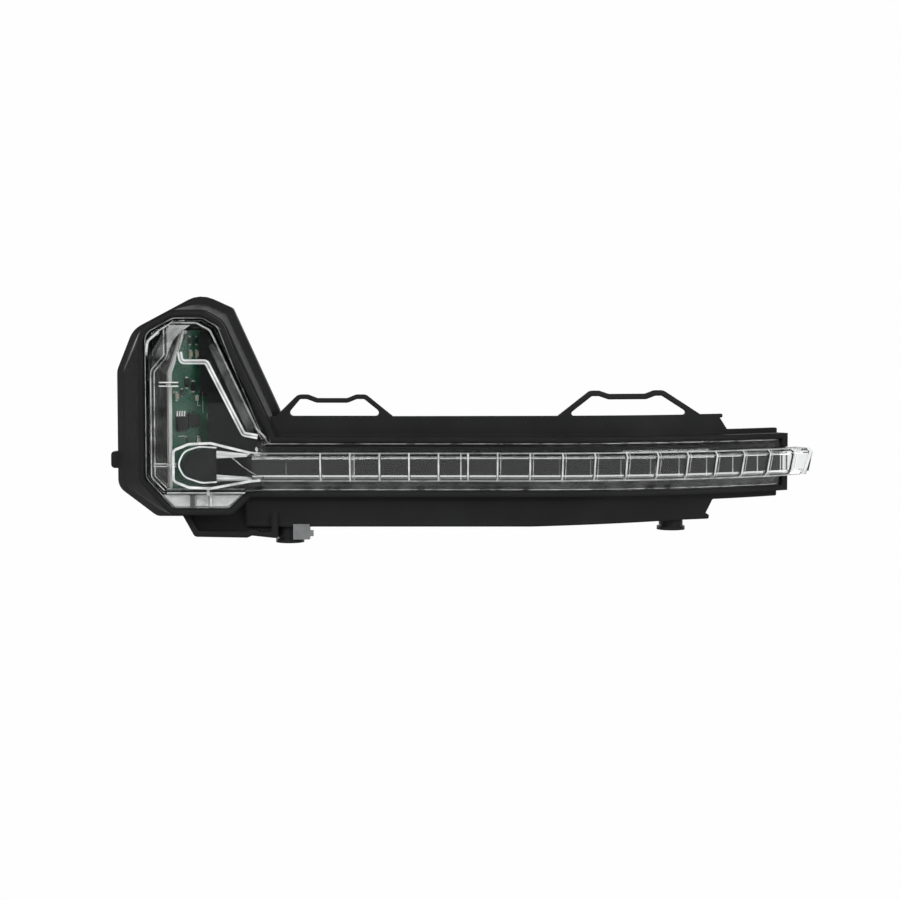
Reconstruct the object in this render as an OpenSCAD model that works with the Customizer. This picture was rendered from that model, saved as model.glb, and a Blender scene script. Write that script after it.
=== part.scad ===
// Side repeater lamp for a left door mirror: a black housing, a clear cover with a segmented bar,
// and the light guide, LED and driver board behind it.
// X runs outboard, Y runs to the rear and Z is up. The origin is the mouth of the inboard boss.

/* [Strip] */
// X at which the straight run of the strip ends
bend_x = 80; // [76:1:84]
// Radius of the bend, at the face of the bar
bend_r = 161; // [156:1:168]
// Angle at which the bar ends
tip_a = 36.2; // [35.8:0.1:37]
// Angle at which the tray ends
tray_a = 34.5; // [34:0.1:35]
// Height of the middle of the strip
strip_z = 25.8; // [25:0.1:26.5]

/* [Bar] */
// Height of the clear bar
bar_h = 9; // [8.4:0.1:9.6]
// How far the bar stands in front of the cover's flange
bar_proud = 7; // [6:0.1:8]
// Height of the bar's middle above the middle of the strip
bar_lift = 0.3; // [0:0.1:0.6]
// Lean of the bar's face, top edge forward
bar_lean = 15; // [8:1:18]
// Chamfer along the bar's upper and lower edge
bar_chamfer = 1.2; // [0.8:0.1:1.5]
// Wall of the bar's channel
bar_wall = 1.4; // [1.2:0.1:1.6]
// Thickness of each cross fin in the bar
fin_t = 0.9; // [0.6:0.1:1.4]
// Path position of the first fin
fin_start = 11.4; // [10:0.1:12]
// Spacing of the fins near the toe
fin_pitch_in = 9.5; // [9.2:0.1:9.6]
// Number of spaces at that spacing
fin_count_in = 6; // [3:1:7]
// Spacing of the fins further out
fin_pitch_out = 10.5; // [10.2:0.1:10.6]
// Number of spaces at that spacing
fin_count_out = 10; // [6:1:10]

/* [Cover] */
// Thickness of the cover's flange
flange_t = 2; // [1.6:0.1:2.4]
// Height of the flange along the strip
flange_h = 15.4; // [15:0.1:15.8]
// Wall of the cover over the toe
cover_wall = 1.6; // [1.2:0.1:1.8]
// Height of the cover's dome over its flange
dome_h = 2.2; // [1.8:0.1:3]
// Height of the raised field over the dome
field_h = 2; // [1.4:0.1:2.4]

/* [Housing] */
// Reach of the toe to the inboard side
toe_reach = 56.8; // [55:0.1:58]
// Rise of the toe's apex over the carrier plate
toe_rise = 40; // [38:0.5:43]
// Height of the toe's lower edge
toe_base = 8.7; // [8.2:0.1:9.3]
// Depth of the toe's box behind the cover's seat
toe_depth = 24; // [22:0.5:28]
// Width of the sloped skirt on the toe's inboard side
skirt_side = 10.8; // [10:0.1:12]
// Width of the skirt above the cover
skirt_top = 7.6; // [6.5:0.1:8.5]
// Width of the skirt below the cover
skirt_base = 3.5; // [3:0.1:4]
// Distance from the bosses' axis forward to the cover's seat
seat_d = 10; // [9:0.5:12]
// Width of the seat that the cover is welded to
seat_w = 1.5; // [1.2:0.1:1.7]
// Height of the lip around the cover
lip_h = 2.8; // [2.2:0.1:3]
// Width of that lip
lip_w = 1.8; // [1.4:0.1:2.2]
// General wall of the housing
wall = 2; // [1.6:0.1:2.4]
// Depth of the tray behind the cover's seat
tray_depth = 13; // [12:0.5:15]
// Gap between the cover's edge and the lip
edge_gap = 0.2; // [0.1:0.05:0.3]

/* [Carrier plate] */
// Distance from the bosses' axis forward to the upper plate
plate_d = 8; // [7:0.5:8.5]
// Thickness of the plate
plate_t = 2.5; // [2:0.1:3]
// Height of the plate's upper edge
plate_top = 42; // [41:0.1:43]
// Height of the plate's lower edge
plate_base = 5.6; // [5.2:0.1:6]
// Width of the band of the inboard eye
eye_band_in = 1.5; // [1.2:0.1:1.7]
// Width of the band of the outboard eye
eye_band_out = 1.8; // [1.4:0.1:2]
// Rise of the inboard eye over the plate
eye_rise_in = 7.2; // [7.2:0.1:8]
// Rise of the outboard eye over the plate
eye_rise_out = 8.4; // [7.8:0.1:9]

/* [Bosses] */
// Radius of each boss
boss_r = 4; // [3.6:0.1:4.3]
// Radius of the foot on each boss
boss_foot_r = 4.7; // [4.4:0.1:5]
// Thickness of that foot
boss_foot_t = 1.2; // [0.8:0.1:1.6]
// Radius of the pilot bore
bore_r = 2; // [1.6:0.1:2.4]
// Depth of the pilot bore
bore_d = 12; // [10:0.5:13]
// Path position of the outboard boss
boss_out_s = 134.8; // [130:0.1:137]
// Height of the outboard boss's mouth
boss_out_z = 3.4; // [2.8:0.1:3.8]

/* [Circuit board] */
// Thickness of the board
board_t = 1.6; // [1:0.1:2]
// Width of the board
board_w = 17.6; // [17.2:0.1:18]
// Distance from the top of the cover's outline down to the board
board_drop = 4.3; // [4:0.1:5]
// Turn of the board about its inboard edge
board_turn = 30; // [27:1:32]
// Distance from the cover's seat back to the board's inboard edge
board_d = 1.4; // [1:0.1:2]
// Thickness of the reflector under the cover
reflector_t = 0.8; // [0.5:0.1:1]

/* [Connector] */
// Width of the socket inside
socket_w = 13; // [12:0.5:15]
// Height of the socket inside
socket_h = 8; // [7:0.5:9]
// Depth of the socket
socket_d = 12; // [10:0.5:14]
// Width of each square pin
pin_w = 0.64; // [0.5:0.02:0.8]
// Spacing of the pins
pin_pitch = 2.5; // [2.2:0.1:2.8]
// Number of pins
pin_count = 4; // [2:1:4]

/* [Hidden] */
$fn = 48;
fit = 0.3;
slip = 0.1;

// Depth levels, front to rear
seat_y = -seat_d;
flange_y = seat_y - flange_t;
lip_y = seat_y - lip_h;
dome_y = flange_y - dome_h;
field_y = dome_y - field_h;
face_y = flange_y - bar_proud;
plate_y = -plate_d;
tray_back = seat_y + tray_depth;
toe_back = seat_y + toe_depth;

// Heights along the strip
bar_z = strip_z + bar_lift;
recess_h = flange_h + 2 * edge_gap;
tray_h = recess_h + 2 * lip_w;
tray_lo = strip_z - tray_h / 2;
tray_hi = strip_z + tray_h / 2;
cavity_h = recess_h - 2 * seat_w;

// Centre of the bend
bend_y = face_y + bend_r;

// Corners and outlines: a corner is [x, z, radius], listed counter-clockwise
function xz(p) = [p[0], p[1]];
function unit(v) = v / norm(v);
function left(v) = [-v.y, v.x];
function pick(p, i) = p[(i + len(p)) % len(p)];

function arc(a, b, c, r, n) =
    let (u = unit(a - b), v = unit(c - b), half = acos(u * v) / 2,
        m = b + unit(u + v) * r / sin(half), s = b + u * r / tan(half), e = b + v * r / tan(half),
        t0 = atan2(s.y - m.y, s.x - m.x), t1 = atan2(e.y - m.y, e.x - m.x),
        turn = (t1 - t0 + 540) % 360 - 180)
    [for (k = [0:n]) m + r * [cos(t0 + turn * k / n), sin(t0 + turn * k / n)]];

function rounded(p, n = 4) =
    [for (i = [0:len(p) - 1])
        each p[i][2] <= 0 ? [xz(p[i])] : arc(xz(pick(p, i - 1)), xz(p[i]), xz(pick(p, i + 1)), p[i][2], n)];

// The same outline, d further in (or out, where d is negative), with its radii kept in step
function inset(p, d) =
    [for (i = [0:len(p) - 1])
        let (a = xz(pick(p, i - 1)), b = xz(p[i]), c = xz(pick(p, i + 1)),
            u = left(unit(b - a)), v = left(unit(c - b)), q = b + d * (u + v) / (1 + u * v),
            bulge = (b - a).x * (c - b).y - (b - a).y * (c - b).x > 0 ? -d : d)
        [q.x, q.y, p[i][2] <= 0 ? 0 : max(p[i][2] + bulge, 0.3)]];

// A slab of an X-Z outline between two depths, and a taper from one outline to another
module slab(p, front, back) {
    translate([0, back, 0]) rotate([90, 0, 0]) linear_extrude(back - front) polygon(rounded(p));
}

module taper(p_back, y_back, p_front, y_front) {
    skin = 0.02;
    hull() {
        slab(p_back, y_back - skin, y_back);
        slab(p_front, y_front, y_front + skin);
    }
}

// A Y-Z profile swept along the strip, from x in the straight run to an angle in the bend
module strip(x, a) {
    translate([x, 0, 0]) rotate([90, 0, 90]) linear_extrude(bend_x - x) children();
    translate([bend_x, bend_y, 0]) rotate([0, 0, -90]) rotate_extrude(angle = a)
        translate([bend_y, 0]) mirror([1, 0]) children();
}

// The same profile swept along a part of the bend only
module bend(a0, a1) {
    translate([bend_x, bend_y, 0]) rotate([0, 0, a0 - 90]) rotate_extrude(angle = a1 - a0)
        translate([bend_y, 0]) mirror([1, 0]) children();
}

// Places its children at a distance s along the face of the bar
module at_path(s) {
    if (s <= bend_x) translate([s, 0, 0]) children();
    else translate([bend_x, bend_y, 0]) rotate([0, 0, (s - bend_x) / bend_r * 180 / PI])
        translate([0, -bend_y, 0]) children();
}

module band(y0, y1, z0, z1) { translate([y0, z0]) square([y1 - y0, z1 - z0]); }

// Outlines of the toe, all set out from tx, so that it can move along the strip as one
toe_top = plate_top + toe_rise;
lens_reach = toe_reach - skirt_side;
tx = -lens_reach - 10;
lens_top = toe_top - skirt_top;
lens_base = toe_base + skirt_base;
valley = [tx + 52.8, plate_top + 1.6];

toe_outline = [
    [-toe_reach, toe_base + 9.7, 5], [tx + 12, toe_base, 3.5], [tx + 38.5, toe_base, 2],
    [tx + 48, toe_base + 9.7, 2], [valley.x, valley.y, 1], [tx + 37.4, toe_top - 4.5, 1.5],
    [tx + 26.8, toe_top + 0.3, 9], [tx + 4.6, toe_top - 11.5, 8], [-toe_reach, toe_top - 25, 6]];

lens_outline = [
    [-lens_reach, lens_base + 9.8, 3], [-lens_reach + 9.2, lens_base, 2], [tx + 37.2, lens_base, 1.5],
    [tx + 43, strip_z - flange_h / 2 - 0.4, 2], [tx + 51, strip_z + flange_h / 2 + 0.6, 3],
    [tx + 37.5, lens_top - 12.4, 6], [tx + 34, lens_top - 3, 4], [tx + 29, lens_top, 4],
    [-lens_reach + 9.4, lens_top, 4], [-lens_reach, lens_top - 5.1, 5]];

// The reflector lies under the flat lower end of the cover, and the dome begins above it
reflector_top = lens_base + 4.6;
dome_base = reflector_top + 0.6;

// Raised field of the cover: its inboard step, and the bright wall down to the strip
field_outline = [
    [-lens_reach + 2.6, dome_base + 5.2, 2], [-lens_reach + 7, dome_base + 0.8, 1],
    [tx + 44, dome_base + 0.8, 1], [tx + 49.5, strip_z - 5, 2], [tx + 49.5, strip_z + 9.5, 2],
    [tx + 43.6, bar_z + 10.4, 1], [tx + 30.7, lens_top - 14.2, 1.5], [tx + 22.1, lens_top - 14.2, 1],
    [tx + 25, lens_top - 1.9, 2], [-lens_reach + 9.4, lens_top - 1.9, 2],
    [-lens_reach + 6.8, lens_top - 4.2, 1.5], [-lens_reach + 6.8, lens_top - 12.4, 1.5],
    [-lens_reach + 2.6, lens_top - 17.2, 2]];

// Widened root of the bar over the LED, and the hood inside it
hood_z = bar_z + 0.4;
root_outline = [
    [tx + 19.8, hood_z - 5.2, 1], [tx + 25, hood_z - 7.2, 3], [tx + 32, hood_z - 7.6, 4],
    [tx + 46, bar_z - bar_h / 2, 6], [tx + 50, bar_z - bar_h / 2, 0], [tx + 50, bar_z + bar_h / 2, 0],
    [tx + 46, bar_z + bar_h / 2, 6], [tx + 32, hood_z + 7.6, 4], [tx + 25, hood_z + 7.2, 3],
    [tx + 19.8, hood_z + 5.2, 1]];

hood_outline = [
    [tx + 21.4, hood_z, 3], [tx + 24.5, hood_z - 4.3, 3], [tx + 31, hood_z - 5.7, 4],
    [tx + 33.5, hood_z - 5.5, 0.3], [tx + 33.5, hood_z + 5.5, 0.3], [tx + 31, hood_z + 5.7, 4],
    [tx + 24.5, hood_z + 4.3, 3]];

// Where the bar's face begins, and the opening between the toe's hollow and the bar's channel
bar_x = tx + 44;
channel_half = bar_h / 2 - bar_wall;
channel_mouth = [[bar_x - 5, bar_z - channel_half, 0], [bar_x + bar_wall + 0.1, bar_z - channel_half, 0],
    [bar_x + bar_wall + 0.1, bar_z + channel_half, 0], [bar_x - 5, bar_z + channel_half, 0]];

// Section of the bar, from its face back to depth y
function bar_section(y) =
    let (half = bar_h / 2, flat = half - bar_chamfer, lean = tan(bar_lean))
    [[y, bar_z - half, 0], [y, bar_z + half, 0],
        [face_y - flat * lean + bar_chamfer * 1.2, bar_z + half, 0.4],
        [face_y - flat * lean, bar_z + flat, 0.4],
        [face_y + flat * lean, bar_z - flat, 0.4],
        [face_y + flat * lean + bar_chamfer * 1.2, bar_z - half, 0.4]];

// Board frame: X along the board from its inboard edge, Y into the board, Z up
board_x = -lens_reach + 7.4;
board_y = seat_y + board_d;
board_z = lens_base + 5.4;
board_h = lens_top - board_drop - board_z;

module on_board() { translate([board_x, board_y, board_z]) rotate([0, 0, board_turn]) children(); }

// What lies behind the board's face, for trimming what stands on it
module behind_board(gap) {
    on_board() translate([-30, -gap, -30]) cube([90, 60, 130]);
}

screw_x = board_w - 2.4;

// Heights on the board: its lower parts, its middle ones and its upper ones
driver_z = 22.3;
upper_z = board_h - 8;
middle_z = (driver_z + upper_z) / 2;
screw_zs = [driver_z + 1.7, upper_z - 0.5];
screw_r = 1.1;

// Housing: tray, toe, carrier plate, eyes, bosses, inboard peg and connector shroud in one moulding
module tray_block() {
    back_bevel = 2;
    strip(bar_x, tray_a) polygon([[lip_y, tray_lo], [tray_back - back_bevel, tray_lo],
        [tray_back, tray_lo + back_bevel], [tray_back, tray_hi - back_bevel],
        [tray_back - back_bevel, tray_hi], [lip_y, tray_hi]]);
}

module toe_block() {
    shoulder = 2.4;
    rim = inset(lens_outline, -edge_gap - lip_w);
    slab(toe_outline, seat_y + 9, seat_y + 13);
    taper(toe_outline, seat_y + 9.1, inset(toe_outline, shoulder), seat_y + 6.4);
    taper(inset(toe_outline, shoulder), seat_y + 6.5, inset(rim, -0.4), seat_y - 0.4);
    slab(rim, lip_y, seat_y);
    taper(inset(toe_outline, wall), toe_back, inset(toe_outline, 0.6), seat_y + 12.9);
}

// The plate steps back to a hem along its lower edge, which the clip is pushed over
hem_y = plate_y + 2.5;
hem_h = 1.8;
plate_outline = [
    [tx + 42, plate_base, 0], [bend_x, plate_base, 0], [130, plate_base + 1.4, 0], [140.1, plate_base + 1.4, 0.5],
    [140.1, plate_base + 2.7, 0.3], [138.9, plate_base + 3.5, 0], [141, tray_lo - 2.3, 0.5],
    [164.6, tray_lo - 2.2, 0.5], [164.6, tray_hi + 1.6, 0.3], [146, tray_hi + 1.6, 0.3],
    [143.4, plate_top - 1, 0], [144.3, plate_top - 0.8, 0.3], [144.3, plate_top + 0.3, 0.3],
    [tx + 53.7, plate_top, 0], [tx + 42, plate_top, 0]];

// Each eye: x of its feet, x of its lobes, its rise, the dip between the lobes, its band, and how
// much wider its inboard arm is
eyes = [[-4, 34.5, 5.4, 23.6, eye_rise_in, 1.2, eye_band_in, 1.3],
    [88.1, 136.9, 100.9, 121.6, eye_rise_out, 1.1, eye_band_out, 0]];
eye_lip = 0.2;
eye_depths = [-40, 60];

// Outline of a snap eye with two raised lobes. Its arms run straight down to height z
function eye(e, z, foot_r, arm) =
    let (top = plate_top + e[4], out0 = e[2] - 2, out1 = e[3] + 2, k = (z - plate_top) / e[4],
        x0 = e[0] + arm)
    [[x0 + k * (out0 - x0), z, foot_r], [e[1] + k * (out1 - e[1]), z, foot_r],
        [out1, top, 2.4], [e[3] - 1.2, top, 2], [e[3] - 4.2, top - e[5], 1.6],
        [e[2] + 4.4, top - e[5], 1.6], [e[2] + 1.2, top, 2], [out0, top, 2.4]];

module eye_arches() {
    for (e = eyes) slab(eye(e, plate_top - 4, 0, 0), eye_depths[0], eye_depths[1]);
}

module eye_holes() {
    for (e = eyes)
        slab(inset(eye(e, plate_top + eye_lip - e[6], 2.6, e[7]), e[6]), eye_depths[0] - 1, eye_depths[1] + 1);
}

module carrier_plate() {
    knee_z = tray_lo - 2;
    hem_z = plate_base + hem_h;
    intersection() {
        strip(tx + 36, tray_a) polygon([[plate_y, plate_top + 20], [plate_y, knee_z], [hem_y, hem_z],
            [hem_y, 0], [hem_y + plate_t, 0], [hem_y + plate_t, hem_z],
            [plate_y + plate_t, knee_z], [plate_y + plate_t, plate_top + 20]]);
        difference() {
            union() {
                slab(plate_outline, eye_depths[0], eye_depths[1]);
                eye_arches();
            }
            eye_holes();
        }
    }
}

pocket_outline = [
    [tx + 21.2, toe_base + 1, 0.5], [tx + 25.2, 2.4, 1.5], [-13.5, 2.1, 1], [-12, 2.8, 1], [-4.5, 2, 0.3],
    [-3.5, 2, 0.3], [-3.5, tray_lo + 1, 0.3], [tx + 26, tray_lo, 0.3]];
pocket_y = -7;

module pocket() {
    rim_w = 2;
    depth = 2.6;
    difference() {
        slab(pocket_outline, pocket_y, -1);
        slab(inset(pocket_outline, rim_w), pocket_y - 1, pocket_y + depth);
    }
}

module boss(z) {
    translate([0, 0, z]) {
        cylinder(r = boss_r, h = tray_lo + 1 - z);
        cylinder(r = boss_foot_r, h = boss_foot_t);
    }
}

module bosses() {
    boss(0);
    at_path(boss_out_s) boss(boss_out_z);
}

module boss_bores() {
    translate([0, 0, -1]) cylinder(r = bore_r, h = bore_d + 1);
    at_path(boss_out_s) translate([0, 0, boss_out_z - 1]) cylinder(r = bore_r, h = bore_d - 2 + 1);
}

module peg() {
    reach = 2.4;
    slab([[-toe_reach - reach, 24.6, 1.2], [tx + 3, 24.6, 0.2], [tx + 3, 30.2, 0.2], [-toe_reach - reach, 30.2, 1.2]], seat_y + 9.5, seat_y + 12.8);
}

socket_x = tx + 23;
socket_z = board_z + (screw_zs[0] + screw_zs[1]) / 2 - 1.6;
socket_wall = 1.5;

module socket(grow, front, back) {
    w = socket_w / 2 + grow;
    h = socket_h / 2 + grow;
    r = 1 + grow;
    slab([[socket_x - w, socket_z - h, r], [socket_x + w, socket_z - h, r],
        [socket_x + w, socket_z + h, r], [socket_x - w, socket_z + h, r]], front, back);
}

module pins(grow, front, back) {
    w = pin_w + 2 * grow;
    for (k = [0:pin_count - 1])
        translate([socket_x + (k - (pin_count - 1) / 2) * pin_pitch - w / 2, front, socket_z - w / 2])
            cube([w, back - front, w]);
}

vent_x = tx + 32;
vent_z = lens_base + 12;
vent_r = 4.5;
vent_hole_r = 1.2;

module vent(r, front, back) {
    translate([vent_x, front, vent_z]) rotate([-90, 0, 0]) cylinder(r = r, h = back - front);
}

module cavities() {
    strip(tx + 40, tray_a - 0.9) band(lip_y - 1, seat_y, strip_z - recess_h / 2, strip_z + recess_h / 2);
    strip(bar_x - 0.5, tray_a - 1.6)
        band(seat_y - 0.1, tray_back - wall, strip_z - cavity_h / 2, strip_z + cavity_h / 2);
    strip(bend_x - 1, tip_a + 1) band(face_y - 2, flange_y + edge_gap, bar_z - bar_h / 2 - edge_gap,
        bar_z + bar_h / 2 + edge_gap);
    slab(inset(lens_outline, -edge_gap), lip_y - 1, seat_y);
    slab(inset(lens_outline, seat_w), seat_y - 0.1, toe_back - wall);
    reflector_area(slip, seat_y - 0.1, seat_y + reflector_t + slip);
}

// Where the reflector lies: the lower end of the cover's outline
reflector_edge = 0.3;

module reflector_area(gap, front, back) {
    intersection() {
        slab(inset(lens_outline, reflector_edge - gap), front, back);
        translate([tx, front - 1, 0]) cube([60, back - front + 2, reflector_top + gap]);
    }
}

module screw_posts() {
    post_r = 2.6;
    reach = (toe_back - wall / 2 - board_y - screw_x * sin(board_turn)) / cos(board_turn);
    intersection() {
        on_board() for (z = screw_zs) translate([screw_x, board_t, z]) rotate([-90, 0, 0]) difference() {
            cylinder(r = post_r, h = reach);
            translate([0, 0, -1]) cylinder(r = screw_r, h = 7);
        }
        slab(inset(toe_outline, wall + 0.5), seat_y, toe_back - wall / 2);
    }
}

module housing() {
    color("#1e1f21") {
        difference() {
            union() {
                tray_block();
                toe_block();
                carrier_plate();
                pocket();
                bosses();
                peg();
                socket(socket_wall, toe_back - 0.5, toe_back + socket_d);
            }
            cavities();
            boss_bores();
            socket(0, toe_back, toe_back + socket_d + 1);
            pins(slip, seat_y, toe_back + 1);
            vent(vent_hole_r, toe_back - wall - 1, toe_back + 1);
        }
        screw_posts();
    }
}

// Cover: flange, dome, raised field, bar with its cross fins, and two locating ribs, in clear acrylic
module cover_skin() {
    slab(lens_outline, flange_y, seat_y);
    dome(0, flange_y + 0.1, dome_y);
    loft_field(0.02, dome_y + 0.1, 0.5, field_y);
    slab(inset(root_outline, 0.2), face_y + 1.4, dome_y);
    strip(tx + 42, tray_a - 1) band(flange_y, seat_y, strip_z - flange_h / 2, strip_z + flange_h / 2);
    strip(bar_x, tip_a) polygon(rounded(bar_section(flange_y + 0.1), 2));
}

// The dome over the toe, above its flat lower end, with all its sides d further in
module dome(d, y_back, y_front) {
    intersection() {
        taper(inset(lens_outline, 1 + d), y_back, inset(lens_outline, 2 + d), y_front);
        translate([tx, y_front - 1, dome_base + d]) cube([60, y_back - y_front + 2, lens_top]);
    }
}

// The raised field in two steps, because its outline isn't convex
module loft_field(in_back, y_back, in_front, y_front) {
    mid = (y_back + y_front) / 2;
    slab(inset(field_outline, in_back), mid, y_back);
    slab(inset(field_outline, in_front), y_front, mid);
}

module cover_hollow() {
    dome(cover_wall, seat_y + 0.1, dome_y + cover_wall);
    slab(inset(field_outline, cover_wall), field_y + cover_wall, dome_y + cover_wall + 0.1);
    slab(inset(root_outline, cover_wall), face_y + 1.4 + cover_wall, field_y + cover_wall + 0.1);
    slab(channel_mouth, field_y + cover_wall + 0.05, seat_y + 0.1);
    strip(bar_x + bar_wall, tray_a - 0.6) polygon(rounded(inset(bar_section(seat_y + 3), bar_wall), 2));
    bend(tray_a - 1.2, tip_a - 0.4) polygon(rounded(inset(bar_section(flange_y), bar_wall + 0.1), 2));
}

// Ribs and pads inside the cover: x from and to, z from and to, corner radius, front, and how far back
cover_ribs = [
    [tx + 14.3, tx + 21.1, lens_top - 22.4, lens_top - 20.9, 0.6, field_y + cover_wall / 2, seat_y],
    [tx + 12.7, tx + 20.4, hood_z - 0.4, hood_z + 0.5, 0.3, field_y + cover_wall / 2, seat_y],
    [tx + 24.6, tx + 26.2, lens_base + 0.6, dome_base + 0.5, 0.4, flange_y - 1, flange_y + 0.1],
    [tx + 26.7, tx + 30.6, lens_base + 0.8, reflector_top - 0.1, 0.3, flange_y - 0.5, flange_y + 0.1],
    [tx + 31.1, tx + 31.7, lens_base + 0.6, dome_base + 0.1, 0.2, flange_y - 0.7, flange_y + 0.1],
    [tx + 30.2, tx + 31.3, dome_base - 0.8, dome_base + 1.5, 0.4, dome_y - 0.4, flange_y]];

// Path position of each fin, as far as the bar reaches
bar_end = bend_x + bend_r * tip_a * PI / 180;
fin_list = [for (k = [0:fin_count_in + fin_count_out])
    let (s = fin_start + min(k, fin_count_in) * fin_pitch_in + max(k - fin_count_in, 0) * fin_pitch_out)
    if (s < bar_end - 5) s];
fin_back = flange_y - 0.6;

module fins() {
    for (s = fin_list)
        at_path(s) translate([-fin_t / 2, 0, 0]) rotate([90, 0, 90]) linear_extrude(fin_t)
            polygon(rounded(inset(bar_section(fin_back + bar_wall / 2), bar_wall / 2), 2));
}

module outer_lens() {
    color([0.85, 0.92, 0.95, 0.4]) {
        difference() {
            cover_skin();
            cover_hollow();
        }
        for (r = cover_ribs)
            slab([[r[0], r[2], r[4]], [r[1], r[2], r[4]], [r[1], r[3], r[4]], [r[0], r[3], r[4]]], r[5], r[6]);
        fins();
    }
}

// Light guide: a flared entry beside the hood and a square rod behind the fins
guide_h = 5;
guide_front = flange_y - 0.3;
guide_back = flange_y + 4.4;

module light_guide() {
    flare_end = bar_x;
    flare = [[tx + 33.9, bar_z - 4.6, 0], [flare_end, bar_z - guide_h / 2, 0], [flare_end, bar_z + guide_h / 2, 0],
        [tx + 33.9, bar_z + 4.6, 0]];
    color([0.9, 0.95, 1, 0.6]) {
        slab(flare, guide_front, guide_back);
        strip(flare_end - 0.1, tray_a - 1.8)
            band(guide_front, guide_back, bar_z - guide_h / 2, bar_z + guide_h / 2);
    }
}

// Dark inner panel: it hides the outboard half of the board and backs the guide
bezel_front = guide_back + fit;
bezel_t = 1.4;
bezel_outline = [
    [tx + 30, lens_base + 5.6, 0.5], [tx + 41, lens_base + 5.6, 1], [tx + 47, strip_z - 5, 1],
    [tx + 48.6, strip_z + 6, 1], [tx + 35.4, lens_top - 14, 3], [tx + 30, lens_top - 4.6, 2]];

module inner_bezel() {
    color("#2a2b2d") difference() {
        bezel_panels();
        slab(inset(hood_outline, -fit), bezel_front - 1, tray_back);
    }
}

module bezel_panels() {
    half = cavity_h / 2 - fit;
    intersection() {
        slab(bezel_outline, bezel_front, bezel_front + bezel_t);
        slab(inset(lens_outline, seat_w + fit), bezel_front - 1, bezel_front + bezel_t + 1);
    }
    strip(bar_x, tray_a - 1.8) {
        band(bezel_front, bezel_front + bezel_t, strip_z - half, strip_z + half);
        band(bezel_front, tray_back - wall, strip_z - half, strip_z - half + bezel_t);
        band(bezel_front, tray_back - wall, strip_z + half - bezel_t, strip_z + half);
    }
}

// Hood over the LED: it stands on the board and opens towards the guide
module led_shroud() {
    hood_wall = 0.9;
    hood_front = field_y + cover_wall + 0.2;
    color("#323335") difference() {
        taper(hood_outline, seat_y + 8, inset(hood_outline, 0.3), hood_front);
        slab(inset(hood_outline, hood_wall), hood_front + hood_wall, seat_y + 12);
        translate([tx + 32, hood_front + hood_wall, bar_z - 4]) cube([3, guide_back - hood_front - hood_wall, 8]);
        behind_board(0);
    }
}

// Bright reflector along the toe's lower edge, held between the cover's flange and a step in its seat
module reflector_strip() {
    color("#c4c8c8") reflector_area(0, seat_y, seat_y + reflector_t);
}

module board_outline() {
    linear_extrude(board_t) polygon(rounded([[0, 0.8, 0.6], [1, 0, 0.6], [board_w, 0, 1], [board_w, board_h - 5, 1],
        [board_w - 3, board_h, 0.6], [5, board_h, 0.6], [0, board_h - 14, 1]]));
}

module circuit_board() {
    color("#1d5a3c") difference() {
        on_board() translate([0, board_t, 0]) rotate([90, 0, 0]) board_outline();
        on_board() for (z = screw_zs) translate([screw_x, -1, z]) rotate([-90, 0, 0])
            cylinder(r = screw_r + 0.15, h = board_t + 2);
        pins(slip, seat_y, toe_back);
    }
}

module board_screws() {
    head_r = 2.1;
    head_t = 1.2;
    length = 6;
    color("#9a9c9e") on_board() for (z = screw_zs) translate([screw_x, 0, z]) rotate([-90, 0, 0]) {
        translate([0, 0, -head_t]) cylinder(r = head_r, h = head_t);
        cylinder(r = screw_r - 0.05, h = length);
    }
}

// A part on the board's face: x and z of its middle, width, height and thickness
module chip(x, z, w, h, t) { on_board() translate([x - w / 2, -t, z - h / 2]) cube([w, t, h]); }

// Legs on the upper and lower side of a part
module legs(x, z, w, h, count, pitch) {
    for (k = [0:count - 1])
        for (side = [-1, 1])
            chip(x + (k - (count - 1) / 2) * pitch, z + side * (h / 2 + 0.4), 0.4, 0.8, 0.25);
}

module driver_chip() {
    color("#202122") chip(4.3, driver_z, 3.6, 4.4, 1.5);
    color("#b9bbbd") legs(4.3, driver_z, 3.6, 4.4, 4, 0.95);
}

module power_transistor() {
    color("#242526") chip(8.2, driver_z + 0.9, 3.8, 3.8, 1.6);
    color("#b9bbbd") legs(8.2, driver_z + 0.9, 3.8, 3.8, 3, 1.3);
}

module diodes() {
    color("#26272a") for (p = [[6.3, middle_z + 2], [8.6, middle_z + 0.8]]) {
        chip(p[0], p[1], 1.4, 2.2, 1);
        chip(p[0], p[1] + 1.3, 0.8, 0.4, 0.3);
        chip(p[0], p[1] - 1.3, 0.8, 0.4, 0.3);
    }
}

module inductor() {
    color("#38393b") difference() {
        chip(12.9, middle_z - 0.4, 4, 4, 2);
        on_board() translate([12.9, -2.1, middle_z - 0.4]) rotate([-90, 0, 0]) cylinder(r = 1.3, h = 0.4);
    }
}

module chip_resistors() {
    color("#2c2d30") for (p = [[4.6, middle_z - 1.2], [5.8, upper_z + 5.8], [6, driver_z - 5.9],
        [7.5, upper_z + 4.7], [9.8, upper_z + 4.7]])
        chip(p[0], p[1], 0.9, 1.8, 0.5);
}

module chip_capacitors() {
    color("#c9b48c") for (p = [[2.7, middle_z - 2.4], [9.6, middle_z - 3], [7.6, upper_z + 0.3], [9.8, upper_z + 0.3],
        [10.2, driver_z - 5.9]])
        chip(p[0], p[1], 1, 1.8, 0.9);
}

led_x = 12.5;

module signal_led() {
    color("#e9e6d2") {
        chip(led_x, bar_z - board_z, 3, 3, 0.7);
        on_board() translate([led_x, -0.7, bar_z - board_z]) rotate([90, 0, 0]) cylinder(r1 = 1.2, r2 = 0.8, h = 0.5);
    }
}

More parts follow.
